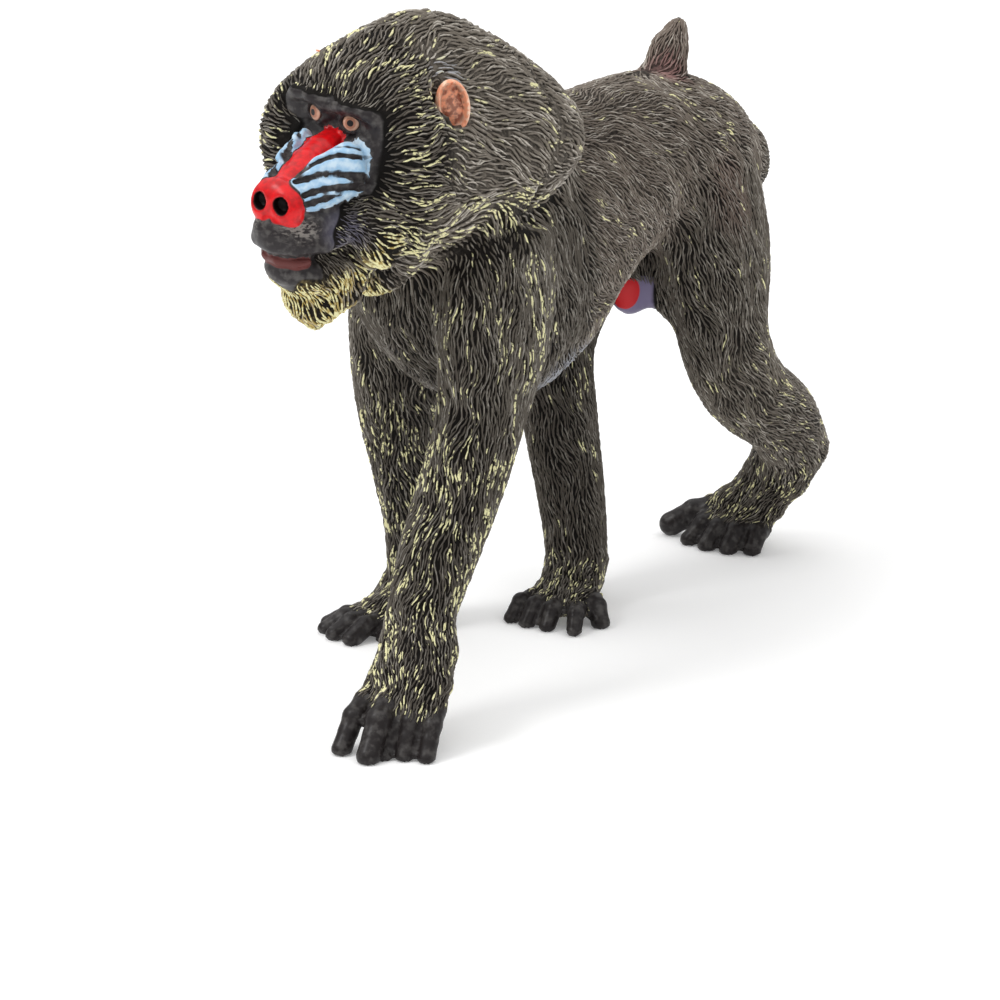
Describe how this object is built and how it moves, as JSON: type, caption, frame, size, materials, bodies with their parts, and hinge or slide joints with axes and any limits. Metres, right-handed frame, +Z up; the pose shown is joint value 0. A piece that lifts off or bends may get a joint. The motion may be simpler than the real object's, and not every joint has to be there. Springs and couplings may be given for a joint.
{
  "type": "toy mandrill figure",
  "caption": "Solid moulded plastic toy figure of a walking male mandrill, painted by hand, with a red and blue face, a deep ruff and mane, and a short raised tail.",
  "frame": {"origin": "middle of the figure's box in plan, on the floor that the hands and feet stand on", "axes": "+Z up; the figure faces -Y, so +Y runs from the nose to the rump; +X is the figure's left side"},
  "size_m": [0.037, 0.095, 0.0775],
  "materials": {
    "coat_paint": "satin dark umber-grey paint with dry-brushed yellow-green tips",
    "mane_paint": "satin dark umber-grey paint with dry-brushed yellow-green tips",
    "beard_paint": "satin ochre-yellow paint over dark grey",
    "face_paint": "satin black-violet paint",
    "cheek_paint": "satin light-blue paint with dark grooves",
    "nose_paint": "semi-gloss red paint",
    "ear_paint": "satin orange-pink paint",
    "eye_paint": "gloss amber paint with a dark pupil",
    "bare_skin_paint": "satin lilac paint"
  },
  "bodies": {
    "root": {"face": "face_paint", "snout": "face_paint", "nose": "nose_paint", "cheek_right": "cheek_paint", "cheek_left": "cheek_paint", "eye_right": "eye_paint", "eye_left": "eye_paint", "ear_right": "ear_paint", "ear_left": "ear_paint", "jaw": "face_paint", "beard": "beard_paint", "mane_fan": "mane_paint", "mane_nape": "mane_paint", "chest": "coat_paint", "belly": "coat_paint", "rump": "coat_paint", "tail": "coat_paint", "rump_pad_right": "bare_skin_paint", "rump_pad_left": "bare_skin_paint", "groin": "bare_skin_paint", "upper_arm_right": "coat_paint", "forearm_right": "coat_paint", "hand_right": "coat_paint", "thigh_right": "coat_paint", "shank_right": "coat_paint", "foot_right": "coat_paint", "upper_arm_left": "coat_paint", "forearm_left": "coat_paint", "hand_left": "coat_paint", "thigh_left": "coat_paint", "shank_left": "coat_paint", "foot_left": "coat_paint"}
  },
  "joints": []
}
